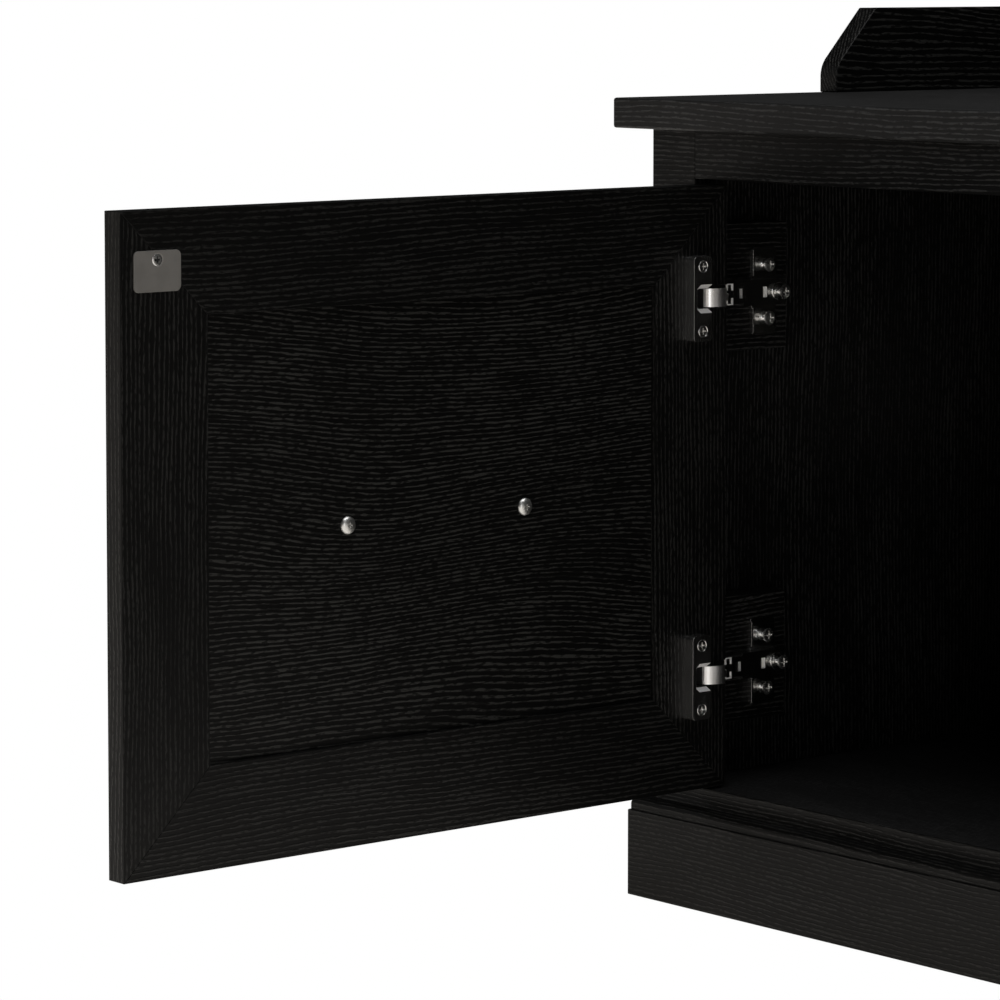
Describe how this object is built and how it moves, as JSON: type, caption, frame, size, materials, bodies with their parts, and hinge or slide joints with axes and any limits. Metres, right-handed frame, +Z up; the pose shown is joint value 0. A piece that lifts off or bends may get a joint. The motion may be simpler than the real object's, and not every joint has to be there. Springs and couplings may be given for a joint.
{
  "type": "media cabinet",
  "caption": "Low media cabinet with inset framed doors on concealed hinges, magnetic catches, a moulded plinth and a low gallery round the worktop.",
  "frame": {"origin": "centre of the underside of the middle support foot, on the floor", "axes": "+X along the front to the right as seen by someone facing it, +Y from the front to the back, +Z up"},
  "size_m": [1.029, 0.8086, 0.533],
  "materials": {
    "worktop": "embossed grain foil, satin",
    "gallery": "embossed grain foil, satin",
    "plinth": "embossed grain foil, satin",
    "carcass": "embossed grain foil, satin",
    "face_frame": "embossed grain foil, satin",
    "spacer_block": "embossed grain foil, satin",
    "door_frame": "embossed grain foil, satin",
    "door_panel": "embossed grain foil, satin",
    "screws": "zinc plated",
    "hinge_chrome": "polished",
    "hinge_steel": "nickel plated",
    "strike_plate": "zinc plated",
    "handle": "brushed nickel",
    "magnet": "dull",
    "catch_plastic": "matte"
  },
  "bodies": {
    "cabinet": {"worktop": "worktop", "side_panel_left": "carcass", "side_panel_right": "carcass", "partition": "carcass", "floor_panel": "carcass", "back_panel": "carcass", "face_stile_left": "face_frame", "face_stile_right": "face_frame", "face_stile_centre": "face_frame", "face_rail_top": "face_frame", "plinth_front": "plinth", "plinth_left": "plinth", "plinth_right": "plinth", "centre_foot": "carcass", "gallery_left": "gallery", "gallery_right": "gallery", "gallery_back": "gallery", "hinge_block_left_upper": "spacer_block", "hinge_block_left_lower": "spacer_block", "hinge_block_right_upper": "spacer_block", "hinge_block_right_lower": "spacer_block", "hinge_plates_left": "hinge_steel", "hinge_plates_right": "hinge_steel", "hinge_arm_left_upper": "hinge_chrome", "hinge_arm_left_lower": "hinge_chrome", "hinge_arm_right_upper": "hinge_chrome", "hinge_arm_right_lower": "hinge_chrome", "hinge_pins": "screws", "plate_screws": "screws", "catch_left": "catch_plastic", "catch_right": "catch_plastic", "catch_magnets": "magnet", "catch_screws": "screws"},
    "door_left": {"door_left_stile_hinge": "door_frame", "door_left_stile_free": "door_frame", "door_left_rail_top": "door_frame", "door_left_rail_bottom": "door_frame", "door_left_panel": "door_panel", "hinge_cup_left_upper": "hinge_steel", "hinge_cup_left_lower": "hinge_steel", "hinge_leaf_left_upper": "hinge_chrome", "hinge_leaf_left_lower": "hinge_chrome", "door_screws_left": "screws", "strike_plate_left": "strike_plate", "handle_left": "handle", "handle_screws_left": "screws"},
    "door_right": {"door_right_stile_hinge": "door_frame", "door_right_stile_free": "door_frame", "door_right_rail_top": "door_frame", "door_right_rail_bottom": "door_frame", "door_right_panel": "door_panel", "hinge_cup_right_upper": "hinge_steel", "hinge_cup_right_lower": "hinge_steel", "hinge_leaf_right_upper": "hinge_chrome", "hinge_leaf_right_lower": "hinge_chrome", "door_screws_right": "screws", "strike_plate_right": "strike_plate", "handle_right": "handle", "handle_screws_right": "screws"}
  },
  "joints": [
    {"name": "door_left_hinge", "type": "hinge", "parent": "cabinet", "child": "door_left", "pos_m": [-0.4523, -0.1863, 0.25225], "axis": [0, 0, 1], "range_deg": [-5, 90]},
    {"name": "door_right_hinge", "type": "hinge", "parent": "cabinet", "child": "door_right", "pos_m": [0.4523, -0.1863, 0.25225], "axis": [0, 0, 1], "range_deg": [0, 95]}
  ]
}
